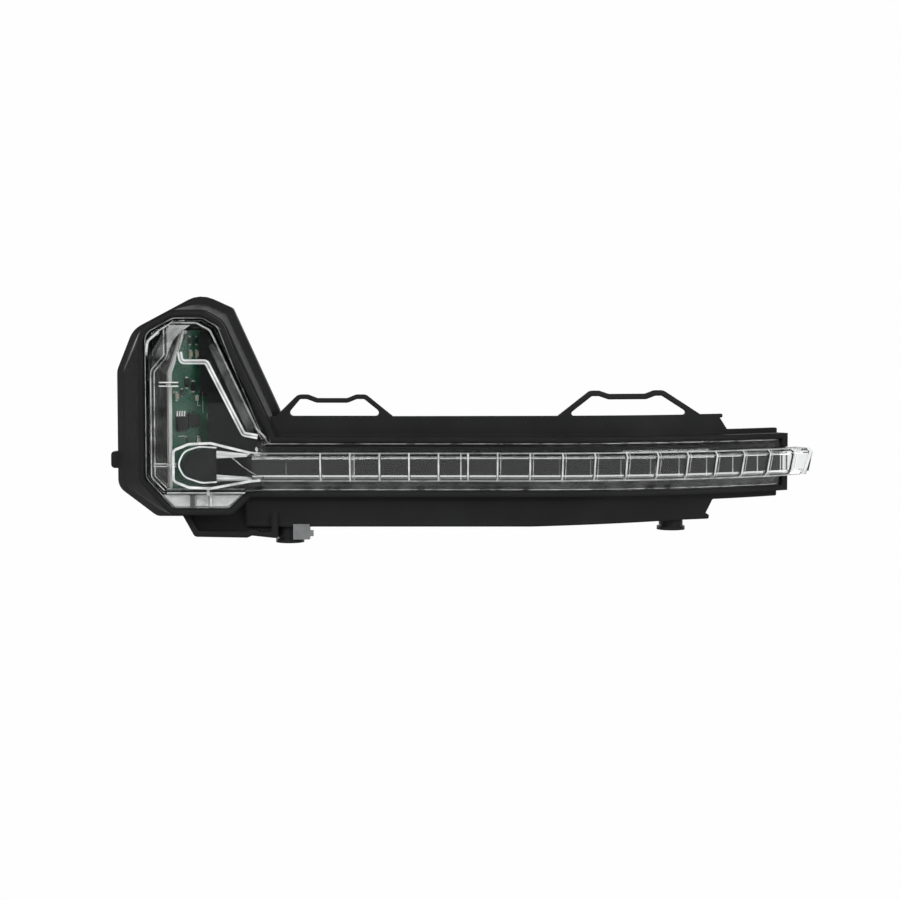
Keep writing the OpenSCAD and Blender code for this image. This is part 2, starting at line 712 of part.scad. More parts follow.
// Insulator that holds the pins together behind the board
module pin_header() {
    length = pin_count * pin_pitch;
    color("#2b2c2e") difference() {
        translate([socket_x - length / 2, toe_back - wall - 3, socket_z - 1.3]) cube([length, 3, 2.6]);
        pins(slip, seat_y, toe_back);
    }
}

module connector_pins() {
    color("#c9a45a") difference() {
        pins(0, seat_y, toe_back + socket_d / 2);
        on_board() translate([-30, -30, -30]) cube([90, 30 + board_t / 2, 130]);
    }
}

module vent_patch() { color("#3a3b3d") vent(vent_r, toe_back, toe_back + 0.3); }

// Spring clip pushed over the plate's hem in front of the inboard boss, with its rear leg beside it
module spring_clip() {
    t = 0.6;
    x0 = 1.5;
    x1 = 6.9;
    front = hem_y - t;
    back = hem_y + plate_t + t;
    low = boss_foot_t + 0.2;
    top = plate_base + 0.9;
    leg_x = sqrt(boss_r * boss_r - back * back) + 0.4;
    color("#7d7f80") {
        translate([x0, front, low]) cube([x1 - x0, t, top - low]);
        translate([x1 - 0.1, front, low + 1.1]) cube([1.4, t, 2]);
        difference() {
            translate([leg_x, front, low]) cube([x1 - leg_x, back - front, top - low]);
            translate([leg_x - 1, hem_y, plate_base]) cube([x1, plate_t, 8]);
            translate([leg_x - 1, hem_y, low + t]) cube([x1, plate_t, plate_base - low - 2 * t]);
        }
    }
}

housing();
outer_lens();
light_guide();
inner_bezel();
led_shroud();
reflector_strip();
circuit_board();
board_screws();
driver_chip();
power_transistor();
diodes();
inductor();
chip_resistors();
chip_capacitors();
signal_led();
pin_header();
connector_pins();
vent_patch();
spring_clip();
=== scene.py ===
# Looks of the side repeater lamp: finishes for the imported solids, the fine parts on the board and the
# cover, and a plain white studio, all in the lamp's own frame. Materials, the camera, the floor and the
# lights are in metres. The added pieces are in mm, and the geometry helpers turn them into metres.
import math

import bpy
import bmesh
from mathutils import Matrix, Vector


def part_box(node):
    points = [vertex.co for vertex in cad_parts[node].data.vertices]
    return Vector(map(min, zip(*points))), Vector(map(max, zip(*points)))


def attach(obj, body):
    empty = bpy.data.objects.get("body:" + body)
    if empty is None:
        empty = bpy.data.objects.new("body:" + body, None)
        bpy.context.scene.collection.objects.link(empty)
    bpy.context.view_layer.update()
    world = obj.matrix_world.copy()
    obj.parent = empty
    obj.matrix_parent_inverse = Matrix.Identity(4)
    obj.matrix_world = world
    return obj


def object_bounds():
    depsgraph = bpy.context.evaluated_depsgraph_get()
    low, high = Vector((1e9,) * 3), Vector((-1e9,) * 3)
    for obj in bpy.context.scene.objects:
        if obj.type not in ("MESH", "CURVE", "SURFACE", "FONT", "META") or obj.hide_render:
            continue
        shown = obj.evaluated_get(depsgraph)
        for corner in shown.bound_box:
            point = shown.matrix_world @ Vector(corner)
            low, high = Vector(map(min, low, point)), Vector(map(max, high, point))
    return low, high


MM = 0.001
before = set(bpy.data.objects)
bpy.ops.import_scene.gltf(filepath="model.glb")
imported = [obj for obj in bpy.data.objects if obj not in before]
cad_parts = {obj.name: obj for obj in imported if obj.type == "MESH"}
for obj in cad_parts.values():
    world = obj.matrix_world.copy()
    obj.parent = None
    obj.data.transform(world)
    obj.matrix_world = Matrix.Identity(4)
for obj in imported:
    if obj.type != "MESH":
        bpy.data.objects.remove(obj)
cad_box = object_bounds()

# Camera: straight from the front and slightly above, 0.325 mm to a pixel of a 900 px frame
AIM = Vector((0.0531, -0.012, 0.0313))
CAMERA_DISTANCE = 0.6
CAMERA_RISE = math.radians(3.5)
FRAME_PIXELS = 900
PIXEL = 0.325 * MM
SENSOR = 36.0


def make_camera():
    data = bpy.data.cameras.new("camera")
    data.sensor_width = SENSOR
    data.lens = SENSOR * CAMERA_DISTANCE / (FRAME_PIXELS * PIXEL)
    data.clip_start = 0.01
    data.clip_end = 20.0
    camera = bpy.data.objects.new("camera", data)
    back = Vector((0.0, -math.cos(CAMERA_RISE), math.sin(CAMERA_RISE)))
    camera.location = AIM + back * CAMERA_DISTANCE
    camera.rotation_euler = (math.pi / 2 - CAMERA_RISE, 0.0, 0.0)
    bpy.context.collection.objects.link(camera)
    bpy.context.scene.camera = camera


# The strip's own numbers, the same as in the part's source
BAR_Z = 26.1
HOOD_Z = 26.5
BAR_HALF = 4.5
BAR_CHAMFER = 1.2
BAR_LEAN = math.tan(math.radians(15.0))
FLANGE_TOP, FLANGE_LOW = 33.3, 18.35

# Faces of the cover, from the rearmost to the bar's own
FLANGE_Y, DOME_Y, FIELD_Y, COLLECTOR_Y, FACE_Y = -12.0, -14.2, -16.2, -17.6, -19.0

# The strip runs straight up to BEND_X and then bends to the rear, with radius BEND_R at the bar's face
BEND_X, BEND_R = 80.0, 161.0
BEND_Y = FACE_Y + BEND_R

# Where the board's inboard lower corner is, and how far it turns about its inboard edge
BOARD_CORNER = (-38.6, -8.6, 17.6)
BOARD_TURN = math.radians(30.0)


# A point at distance s along the face of the bar, with its depth and height in the strip's profile
def on_strip(s, y, z):
    if s <= BEND_X:
        return Vector((s, y, z)) * MM
    turn = (s - BEND_X) / BEND_R
    radius = BEND_Y - y
    return Vector((BEND_X + radius * math.sin(turn), BEND_Y - radius * math.cos(turn), z)) * MM


# A point on the board: x across it from its inboard edge, y into it, z up
def on_board(x, y, z):
    c, s = math.cos(BOARD_TURN), math.sin(BOARD_TURN)
    corner_x, corner_y, corner_z = BOARD_CORNER
    return Vector((corner_x + x * c - y * s, corner_y + x * s + y * c, corner_z + z)) * MM


# A node tree of a material or of the world, built by small calls
class Tree:
    def __init__(self, owner):
        owner.use_nodes = True
        self.nodes = owner.node_tree.nodes
        self.links = owner.node_tree.links

    def add(self, kind, **settings):
        node = self.nodes.new(kind)
        for key, value in settings.items():
            setattr(node, key, value)
        return node

    # Gives a socket a value, or links it to another node's output
    def feed(self, socket, value):
        if isinstance(value, bpy.types.NodeSocket):
            self.links.new(value, socket)
        else:
            socket.default_value = value

    def math(self, operation, *values):
        node = self.add("ShaderNodeMath", operation=operation)
        for socket, value in zip(node.inputs, values):
            self.feed(socket, value)
        return node.outputs[0]

    def dot(self, a, b):
        node = self.add("ShaderNodeVectorMath", operation="DOT_PRODUCT")
        self.feed(node.inputs[0], a)
        self.feed(node.inputs[1], b)
        return node.outputs["Value"]

    def coords(self, kind="Object"):
        return self.add("ShaderNodeTexCoord").outputs[kind]

    def normal(self):
        return self.add("ShaderNodeNewGeometry").outputs["Normal"]

    def depth(self, kind="Object"):
        node = self.add("ShaderNodeSeparateXYZ")
        self.feed(node.inputs[0], self.coords(kind))
        return node.outputs["Y"]

    def mapped(self, **settings):
        node = self.add("ShaderNodeMapping")
        for key, value in settings.items():
            node.inputs[key].default_value = value
        self.feed(node.inputs["Vector"], self.coords())
        return node.outputs["Vector"]

    def noise(self, scale, detail=3.0, vector=None):
        node = self.add("ShaderNodeTexNoise")
        node.inputs["Scale"].default_value = scale
        node.inputs["Detail"].default_value = detail
        self.feed(node.inputs["Vector"], vector or self.coords())
        return node.outputs["Fac"]

    def remap(self, value, low, high, from_low=0.3, from_high=0.7, interpolation="LINEAR"):
        node = self.add("ShaderNodeMapRange", interpolation_type=interpolation)
        node.inputs["From Min"].default_value = from_low
        node.inputs["From Max"].default_value = from_high
        node.inputs["To Min"].default_value = low
        node.inputs["To Max"].default_value = high
        self.feed(node.inputs["Value"], value)
        return node.outputs["Result"]

    def mix(self, factor, a, b, kind="RGBA"):
        node = self.add("ShaderNodeMix", data_type=kind)
        self.feed(node.inputs["Factor"], factor)
        self.feed(node.inputs["A"], a)
        self.feed(node.inputs["B"], b)
        return node.outputs["Result"]


class Finish(Tree):
    def __init__(self, name):
        self.material = bpy.data.materials.new(name)
        super().__init__(self.material)
        self.shader = self.nodes["Principled BSDF"]
        self.output = self.nodes["Material Output"]

    def set(self, socket, value):
        self.feed(self.shader.inputs[socket], value)

    # A colour that drifts between two shades
    def shades(self, factor, dark, light):
        return self.mix(factor, (*dark, 1.0), (*light, 1.0))

    def soft_normal(self, radius):
        node = self.add("ShaderNodeBevel", samples=4)
        node.inputs["Radius"].default_value = radius
        return node.outputs["Normal"]

    def bump(self, height, distance, strength=0.5, edge=0.0):
        node = self.add("ShaderNodeBump")
        node.inputs["Strength"].default_value = strength
        node.inputs["Distance"].default_value = distance
        self.feed(node.inputs["Height"], height)
        if edge > 0:
            self.feed(node.inputs["Normal"], self.soft_normal(edge))
        self.set("Normal", node.outputs["Normal"])

    # 1 along edges that a radius would round, 0 on flat faces, where the painted edge highlight goes
    def highlight_edge_mask(self, radius):
        flatness = self.dot(self.soft_normal(radius), self.normal())
        return self.remap(flatness, low=1.0, high=0.0, from_low=0.88, from_high=0.995)


# Moulded plastic: two near shades, a fine grain, edges that look rounded over `edge`, and a painted
# highlight, a paler colour along the edges
def plastic(name, dark, light, rough, grain=2500.0, depth=0.00004, specular=0.4, edge=0.0002, painted_edge_highlight=None):
    tree = Finish(name)
    spread = 0.06
    colour = tree.shades(tree.remap(tree.noise(scale=60.0), low=0.0, high=1.0), dark, light)
    # Painted highlight: the colour is mixed towards a paler one along the edges
    if painted_edge_highlight:
        colour = tree.mix(tree.highlight_edge_mask(radius=0.00022), colour, (*painted_edge_highlight, 1.0))
    tree.set("Base Color", colour)
    tree.set("Roughness", tree.remap(tree.noise(scale=400.0), low=rough - spread, high=rough + spread))
    tree.set("Specular IOR Level", specular)
    tree.bump(tree.noise(grain, detail=2.0), depth, edge=edge)
    return tree.material


def metal(name, dark, light, rough, share=1.0):
    tree = Finish(name)
    spread = 0.08
    patches = tree.remap(tree.noise(scale=180.0), low=0.0, high=1.0)
    tree.set("Base Color", tree.shades(patches, dark, light))
    tree.set("Roughness", tree.remap(tree.noise(scale=500.0), low=rough - spread, high=rough + spread))
    tree.set("Metallic", share)
    tree.bump(tree.noise(scale=900.0), distance=0.00002, strength=0.3)
    return tree.material


def clear(name, tint, haze, ior=1.49):
    tree = Finish(name)
    tree.set("Transmission Weight", 1.0)
    tree.set("IOR", ior)
    tree.set("Specular IOR Level", 0.22)
    tree.set("Base Color", (*tint, 1.0))
    if haze > 0:
        tree.set("Roughness", tree.remap(tree.noise(scale=90.0), low=0.0, high=haze))
    else:
        tree.set("Roughness", 0.0)
    return tree.material


# Thin sheets on the clear parts, thinner in places, from `low` to `high`: painted highlights along edges,
# painted sheen over plates, a pale sheet on a window and a dark grey one on a pillar
def thin_sheet(name, low, high, dark=(0.78, 0.8, 0.8), light=(0.95, 0.96, 0.96)):
    tree = Finish(name)
    tree.set("Base Color", tree.shades(tree.noise(scale=300.0), dark, light))
    tree.set("Alpha", tree.remap(tree.noise(scale=220.0), low, high))
    tree.set("Roughness", tree.remap(tree.noise(scale=600.0), low=0.15, high=0.35))
    tree.bump(tree.noise(scale=900.0), distance=0.00003)
    return tree.material


# Streaks of light along the guide's flare
def streaked(name, low, high):
    tree = Finish(name)
    streaks = tree.noise(scale=1.0, detail=2.0, vector=tree.mapped(Scale=(60.0, 400.0, 900.0)))
    tree.set("Alpha", tree.remap(streaks, low, high, from_low=0.35, from_high=0.65))
    tree.set("Base Color", (0.9, 0.91, 0.91, 1.0))
    tree.set("Roughness", 0.3)
    return tree.material


# Green mask on the board's two faces with darker tracks under it, bare laminate on its cut edges
def solder_mask(name):
    tree = Finish(name)
    tracks = tree.add("ShaderNodeTexBrick")
    tracks.inputs["Scale"].default_value = 260.0
    tracks.inputs["Mortar Size"].default_value = 0.05
    tracks.inputs["Color1"].default_value = (0.012, 0.11, 0.06, 1.0)
    tracks.inputs["Color2"].default_value = (0.018, 0.135, 0.074, 1.0)
    tracks.inputs["Mortar"].default_value = (0.01, 0.095, 0.052, 1.0)
    tree.feed(tracks.inputs["Vector"], tree.mapped(Rotation=(math.pi / 2, 0.0, -BOARD_TURN)))
    face = (math.sin(BOARD_TURN), -math.cos(BOARD_TURN), 0.0)
    facing = tree.math("ABSOLUTE", tree.dot(tree.normal(), face))
    cut = tree.math("LESS_THAN", facing, 0.8)
    tree.set("Base Color", tree.mix(cut, tracks.outputs["Color"], (0.8, 0.8, 0.72, 1.0)))
    tree.set("Roughness", tree.remap(tree.noise(scale=900.0), low=0.25, high=0.4))
    tree.bump(tree.noise(scale=1500.0), distance=0.00003)
    return tree.material


FINISHES = {
    # The housing's paler edges are a painted highlight
    "housing": plastic("black_plastic", (0.0125, 0.0127, 0.013), (0.017, 0.0173, 0.018), 0.5,
                       specular=0.1, edge=0.0012, painted_edge_highlight=(0.03, 0.031, 0.032)),
    "outer_lens": clear("clear_acrylic", (0.97, 0.98, 0.98), 0.03),
    # Light passes from the cover to the guide unbent, as if the thin gap between them were filled
    "light_guide": clear("guide_acrylic", (0.62, 0.63, 0.64), 0.0, ior=1.03),
    "inner_bezel": plastic("bezel_plastic", (0.008, 0.0083, 0.009), (0.012, 0.0125, 0.0135), 0.4,
                           depth=0.00001, specular=0.1),
    "led_shroud": plastic("hood_plastic", (0.02, 0.0205, 0.0215), (0.03, 0.0305, 0.032), 0.4,
                          depth=0.00001, specular=0.1),
    "reflector_strip": metal("metallised", (0.8, 0.82, 0.82), (0.93, 0.95, 0.95), 0.45, share=0.25),
    "circuit_board": solder_mask("solder_mask"),
    "board_screws": metal("zinc", (0.5, 0.51, 0.52), (0.68, 0.69, 0.7), 0.35),
    "driver_chip": plastic("epoxy_driver", (0.012, 0.012, 0.013), (0.02, 0.02, 0.022), 0.55),
    "power_transistor": plastic("epoxy_power", (0.012, 0.012, 0.013), (0.02, 0.02, 0.022), 0.55),
    "diodes": plastic("epoxy_diode", (0.014, 0.014, 0.015), (0.024, 0.024, 0.026), 0.5),
    "inductor": plastic("ferrite", (0.03, 0.03, 0.032), (0.05, 0.05, 0.053), 0.6),
    "chip_resistors": plastic("resistor_glaze", (0.02, 0.02, 0.022), (0.035, 0.035, 0.04), 0.3),
    "chip_capacitors": plastic("capacitor_ceramic", (0.5, 0.45, 0.35), (0.66, 0.61, 0.5), 0.5),
    "signal_led": plastic("led_body", (0.75, 0.7, 0.45), (0.85, 0.82, 0.62), 0.35),
    "pin_header": plastic("header_plastic", (0.012, 0.012, 0.013), (0.02, 0.02, 0.022), 0.5),
    "connector_pins": metal("tinned_pins", (0.62, 0.56, 0.42), (0.78, 0.72, 0.58), 0.25),
    "vent_patch": plastic("vent_film", (0.05, 0.05, 0.055), (0.08, 0.08, 0.085), 0.8),
    "spring_clip": metal("spring_steel", (0.15, 0.153, 0.156), (0.22, 0.223, 0.226), 0.5, share=0.5),
}

# Finishes of what is added: sheets from a faint painted sheen to a nearly solid painted highlight, and
# finishes of the board, the solder and the reflector
ADDED = {
    "edge": thin_sheet("painted_highlight_edge", 0.45, 1.0),
    "haze": thin_sheet("faint_pale_sheet", 0.08, 0.5),
    "veil": thin_sheet("painted_sheen_veil", 0.0, 0.1),
    "mist": thin_sheet("painted_sheen_mist", 0.0, 0.04),
    "crown": thin_sheet("painted_sheen_crown", 0.18, 0.42),
    "flange": thin_sheet("painted_sheen_flange", 0.4, 0.65),
    "smoke": thin_sheet("dark_grey_sheet", 0.45, 0.8, dark=(0.05, 0.05, 0.05), light=(0.16, 0.16, 0.16)),
    "rib": thin_sheet("painted_highlight_rib", 0.3, 0.95),
    "tip": thin_sheet("painted_highlight_tip", 0.85, 1.0, dark=(0.9, 0.91, 0.91), light=(1.0, 1.0, 1.0)),
    "line": thin_sheet("painted_highlight_line", 0.05, 0.9),
    "streaks": streaked("streaks", 0.2, 0.85),
    # The board's edge band: the laminate's pale colour, whitened further as a painted highlight
    "laminate": plastic("laminate_with_painted_highlight", (0.94, 0.94, 0.92), (1.0, 1.0, 0.98), 0.6),
    "print": plastic("white_print", (0.7, 0.72, 0.7), (0.85, 0.87, 0.85), 0.6),
    "solder": metal("solder", (0.7, 0.71, 0.71), (0.88, 0.88, 0.87), 0.35, share=0.4),
    "reflector": FINISHES["reflector_strip"],
    "bezel": FINISHES["inner_bezel"],
}


def dress_nodes():
    for name, material in FINISHES.items():
        for slot in bpy.data.objects[name].material_slots:
            slot.material = material


def make_piece(name, bm, finish, smooth=False):
    bmesh.ops.recalc_face_normals(bm, faces=bm.faces)
    mesh = bpy.data.meshes.new(name)
    bm.to_mesh(mesh)
    bm.free()
    for polygon in mesh.polygons:
        polygon.use_smooth = smooth
    obj = bpy.data.objects.new(name, mesh)
    bpy.context.collection.objects.link(obj)
    mesh.materials.append(ADDED[finish])
    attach(obj, "root")


# Adds a closed bar to bm: rings of points, joined one to the next, with a cap at each end
def add_rings(bm, rings):
    made = [[bm.verts.new(p) for p in ring] for ring in rings]
    for a, b in zip(made, made[1:]):
        for k in range(len(a)):
            m = (k + 1) % len(a)
            bm.faces.new((a[k], a[m], b[m], b[k]))
    bm.faces.new(made[0])
    bm.faces.new(list(reversed(made[-1])))


def unit(v):
    return v / v.length


def side(v):
    return Vector((-v.y, v.x))


# An open line through corners (x, z, radius), with its corners rounded, as a list of points
def path(corners, steps=6):
    points = [Vector(c[:2]) for c in corners]
    result = [points[0]]
    for i in range(1, len(points) - 1):
        a, b, c, radius = points[i - 1], points[i], points[i + 1], corners[i][2]
        u, v = unit(a - b), unit(c - b)
        half = math.acos(max(-1.0, min(1.0, u.dot(v)))) / 2
        centre = b + unit(u + v) * (radius / math.sin(half))
        start = b + u * (radius / math.tan(half)) - centre
        turn = start.angle_signed(b + v * (radius / math.tan(half)) - centre)
        for k in range(steps + 1):
            t = turn * k / steps
            c_t, s_t = math.cos(t), math.sin(t)
            result.append(centre + Vector((start.x * c_t + start.y * s_t, start.y * c_t - start.x * s_t)))
    result.append(points[-1])
    return result


# The same line moved sideways by d, with its points kept in step
def beside(points, d):
    result = []
    for i, p in enumerate(points):
        u = unit(p - points[i - 1]) if i else unit(points[1] - p)
        v = unit(points[i + 1] - p) if i < len(points) - 1 else u
        result.append(p + (side(u) + side(v)) * (d / (1 + side(u).dot(side(v)))))
    return result


# A bead along an open line in the X-Z plane, `width` wide, from depth y0 back to y1
def add_bead(bm, points, width, y0, y1):
    left, right = beside(points, width / 2), beside(points, -width / 2)
    rings = []
    for l, r in zip(left, right):
        rings.append([Vector((q.x, y, q.y)) * MM for q, y in ((l, y0), (r, y0), (r, y1), (l, y1))])
    add_rings(bm, rings)


# Lines along the cover's edges, where painted highlight lines lie
EDGE_LINE = path([(-5.5, 33.4, 0), (-8.6, 35.7, 2), (-18.6, 62, 6), (-22.2, 71.2, 4), (-27, 74.1, 4),
                  (-36.6, 74.1, 4), (-45.7, 69.2, 4), (-45.7, 22.2, 3), (-36.8, 12.5, 2),
                  (-18.9, 12.5, 1.5), (-13, 18.2, 2), (-8, 18.2, 0)])
DOME_LINE = path([(-45, 62, 0), (-44.6, 66.6, 2), (-40.8, 70, 2), (-36.8, 72.5, 2), (-28.8, 72.5, 1.5),
                  (-24.4, 70.2, 2.5), (-22.6, 66.4, 3), (-9.4, 38.2, 2), (-6.5, 35.3, 0)])
CORNER_LINE = path([(-44.95, 63, 0), (-44.6, 66.6, 2.5), (-40.9, 69.7, 0)])
STEP_LINE = path([(-39, 71, 0), (-39, 62.2, 2), (-43.3, 57.2, 2.5), (-43.3, 22.7, 2), (-39.2, 18.5, 0)])
WALL_LINE = path([(-33.9, 63.2, 0), (-33.4, 60, 1.2), (-25.3, 60, 1.4), (-13.5, 36.7, 1.2), (-9, 35.9, 0)])
ARC_LINE = path([(-17.1, 29.2, 0), (-13.7, 26.2, 6), (-9.6, 23.8, 0)])
BASE_LINE = path([(-38.6, 17.5, 0), (-13.4, 17.5, 0)])
HOOD_LINE = path([(-22.1, 32.4, 0), (-27.8, 32.7, 6), (-32.6, 31.2, 4), (-34.6, 26.8, 3.5),
                  (-32.6, 22.9, 4), (-27, 21, 6), (-22.1, 21.3, 0)])


# One half of the collector's outline: `up` is 1 for the upper half and -1 for the lower one
def collector_line(up):
    return path([(-36, 27, 0), (-36, HOOD_Z + 5 * up, 1.5), (-31, HOOD_Z + 7 * up, 3),
                 (-24, HOOD_Z + 7.3 * up, 4), (-11, BAR_Z + 4.5 * up, 5), (-8, BAR_Z + 4.3 * up, 0)])


# How far added pieces stand in front of the face that they lie on, and how far they reach into it
PROUD = 0.05
BAND_PROUD, BAND_SUNK = 0.04, 0.25
LINE_PROUD, LINE_SUNK = 0.03, 0.2
THIN_PROUD, THIN_SUNK = 0.03, 0.1
SKIN_PROUD, SKIN_SUNK = 0.06, 0.1

# Painted highlight lines on the cover, as (name, line, width, the face it lies on, how far back it goes,
# finish)
HIGHLIGHT_LINES = [
    ("cover_edge_highlight", EDGE_LINE, 0.3, FLANGE_Y, 0.3, "haze"),
    ("dome_highlight", DOME_LINE, 0.5, DOME_Y, 0.3, "haze"),
    ("dome_corner_highlight", CORNER_LINE, 0.7, DOME_Y, 0.3, "edge"),
    ("step_highlight", STEP_LINE, 0.35, FIELD_Y, 0.3, "haze"),
    ("step_inner_highlight", beside(STEP_LINE, 1.15), 0.35, FIELD_Y, 0.3, "haze"),
    ("wall_highlight", beside(WALL_LINE, 0.45), 0.6, FIELD_Y, 0.3, "edge"),
    ("wall_inner_highlight", beside(WALL_LINE, -0.55), 0.5, FIELD_Y, 0.3, "edge"),
    ("wall_fill_highlight", beside(WALL_LINE, -0.05), 0.5, FIELD_Y, 0.25, "haze"),
    ("arc_highlight", ARC_LINE, 0.3, COLLECTOR_Y, 0.3, "haze"),
    ("base_highlight", BASE_LINE, 0.4, DOME_Y, 0.3, "edge"),
    ("base_inner_highlight", beside(BASE_LINE, 1.3), 0.25, DOME_Y, 0.3, "haze"),
    ("collector_top_highlight", collector_line(1), 0.8, COLLECTOR_Y, 0.3, "edge"),
    ("collector_low_highlight", collector_line(-1), 0.8, COLLECTOR_Y, 0.3, "edge"),
    ("hood_highlight", HOOD_LINE, 0.5, COLLECTOR_Y, 0.3, "edge"),
]

# Locating ribs of the cover, each drawn by a painted highlight line along its two long edges: (name, x0, x1,
# z0, z1)
RIBS = [
    ("upper_rib_highlight", -40.7, -34.4, 52.0, 53.5),
    ("lower_rib_highlight", -42.6, -35.2, 26.1, 27.2),
]


def make_highlight_lines():
    for name, points, width, face_y, depth, finish in HIGHLIGHT_LINES:
        bm = bmesh.new()
        add_bead(bm, points, width, face_y - PROUD, face_y + depth)
        make_piece(name, bm, finish)
    inset, width, depth = 0.15, 0.36, 0.3
    for name, x0, x1, z0, z1 in RIBS:
        bm = bmesh.new()
        for z in (z0 + inset, z1 - inset):
            add_bead(bm, [Vector((x0, z)), Vector((x1, z))], width, FIELD_Y - PROUD, FIELD_Y + depth)
        make_piece(name, bm, "edge")


# Painted streaks of light on the flare's flanks and painted sheen on parts of the cover, as (name, four
# corners, face, finish)
WEDGES = [
    ("flare_top", [(-22.1, 31.5), (-22.1, 28.9), (-11.8, 29.5), (-10.8, 30.2)], COLLECTOR_Y, "streaks"),
    ("flare_low", [(-22.1, 23.7), (-22.1, 21.5), (-10.5, 21.9), (-11.5, 22.9)], COLLECTOR_Y, "streaks"),
    ("cover_slope", [(-24.9, 65.2), (-22.2, 66), (-9.4, 39), (-12.6, 37.6)], DOME_Y, "veil"),
    ("cover_field_left", [(-43, 59), (-43, 20.5), (-37.2, 20.5), (-37.2, 55.6)], FIELD_Y, "mist"),
    ("cover_field_upper", [(-38.3, 70), (-43, 59), (-37.2, 55.6), (-32.6, 69.3)], FIELD_Y, "veil"),
    ("cover_corner", [(-44.1, 61.5), (-44.1, 58), (-39.3, 62.6), (-39.3, 69.8)], DOME_Y, "veil"),
    ("cover_crown", [(-37.4, 71.8), (-38.1, 62.2), (-34.9, 69), (-30.4, 71.8)], FIELD_Y, "crown"),
]
WEDGE_DEPTH = 0.2
WEDGE_STEPS = 8


def make_wedges():
    for name, corners, face_y, finish in WEDGES:
        a0, b0, b1, a1 = (Vector(c) for c in corners)
        front = face_y - PROUD
        back = front + WEDGE_DEPTH
        rings = []
        for k in range(WEDGE_STEPS + 1):
            a, b = a0.lerp(a1, k / WEDGE_STEPS), b0.lerp(b1, k / WEDGE_STEPS)
            rings.append([Vector((p.x, y, p.y)) * MM
                          for p, y in ((a, front), (b, front), (b, back), (a, back))])
        bm = bmesh.new()
        add_rings(bm, rings)
        make_piece(name, bm, finish)


# A plate between corners (x, z), from depth y0 back to y1
def make_plate(name, corners, y0, y1, finish):
    bm = bmesh.new()
    add_rings(bm, [[Vector((x, y, z)) * MM for x, z in corners] for y in (y0, y1)])
    make_piece(name, bm, finish)


# Outlines of the plates over the reflector, the reflector's skin and a painted sheen on the flange, and of
# the bezel's upper end
SKIN_OUTLINE = [(-40.3, 16.7), (-36.6, 12.7), (-19, 12.7), (-14.9, 16.7)]
SHEEN_OUTLINE = [(-40, 16.5), (-36.5, 12.9), (-19.1, 12.9), (-15.2, 16.5)]
BEZEL_OUTLINE = [(-28.4, 50), (-28.4, 70), (-25.8, 69.4), (-24.6, 66.4), (-19.6, 55.6), (-19.6, 50)]

# Front faces of the ribs over the reflector, as (name, x0, x1, z0, z1, depth, finish): a dark grey sheet on
# the pillar, a pale sheet on the window, and painted highlights on the line and the knob
RIB_FACES = [
    ("pillar_face", -31.3, -29.9, 12.9, 17.8, FLANGE_Y - 1.05, "smoke"),
    ("window_face", -29.2, -25.5, 13.1, 16.6, FLANGE_Y - 0.55, "haze"),
    ("line_face", -24.85, -24.35, 12.9, 17.4, FLANGE_Y - 0.75, "edge"),
    ("knob_face", -25.7, -24.8, 16.7, 18.8, DOME_Y - 0.45, "edge"),
]
FACE_DEPTH = 0.15
BEZEL_DEPTH = 0.5


def make_panels():
    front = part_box("reflector_strip")[0][1] / MM
    make_plate("reflector_skin", SKIN_OUTLINE, front - SKIN_PROUD, front + SKIN_SUNK,
               "reflector")
    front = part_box("inner_bezel")[0][1] / MM
    make_plate("bezel_upper_end", BEZEL_OUTLINE, front, front + BEZEL_DEPTH, "bezel")
    # A painted sheen on the flange over the reflector
    make_plate("flange_sheen", SHEEN_OUTLINE, FLANGE_Y - THIN_PROUD, FLANGE_Y + THIN_SUNK, "flange")
    for name, x0, x1, z0, z1, y, finish in RIB_FACES:
        make_plate(name, [(x0, z0), (x1, z0), (x1, z1), (x0, z1)], y, y + FACE_DEPTH, finish)


# The board's routed edge as a band on its face, along this line (x, z) on the board: the laminate's pale
# colour, whitened further as a painted highlight
BOARD_EDGE = [(0.55, 0.9), (0.55, 38.5), (5.4, 51.95), (6.6, 51.95)]


def make_board_edge():
    half, front, back = 0.55, -0.06, 0.2
    points = [Vector(p) for p in BOARD_EDGE]
    rings = []
    for l, r in zip(beside(points, half), beside(points, -half)):
        rings.append([on_board(l.x, front, l.y), on_board(r.x, front, r.y),
                      on_board(r.x, back, r.y), on_board(l.x, back, l.y)])
    bm = bmesh.new()
    add_rings(bm, rings)
    make_piece("board_edge_band", bm, "laminate")


# Outline (y, z) of the bar's front, from its upper edge to its lower one, d proud of the surface. The
# chamfers end `corner` behind the face's edges, and the outline runs on along the bar's sides to `end`.
def bar_front(d):
    flat = BAR_HALF - BAR_CHAMFER
    top_y, low_y = FACE_Y - flat * BAR_LEAN, FACE_Y + flat * BAR_LEAN
    corner, end = 1.44, 2.2
    return [(top_y + end, BAR_Z + BAR_HALF + d), (top_y + corner, BAR_Z + BAR_HALF + d),
            (top_y - d, BAR_Z + flat), (low_y - d, BAR_Z - flat),
            (low_y + corner, BAR_Z - BAR_HALF - d), (low_y + end, BAR_Z - BAR_HALF - d)]


# A band across the bar's front at distance s, which leans by `slant` for each mm of height
def make_cross_band(name, s, half, finish, slant=0.0):
    rings = []
    for (y0, z0), (y1, z1) in zip(bar_front(BAND_PROUD), bar_front(-BAND_SUNK)):
        middle = s + slant * (z0 - BAR_Z)
        rings.append([on_strip(middle - half, y0, z0), on_strip(middle + half, y0, z0),
                      on_strip(middle + half, y1, z1), on_strip(middle - half, y1, z1)])
    bm = bmesh.new()
    add_rings(bm, rings)
    make_piece(name, bm, finish)


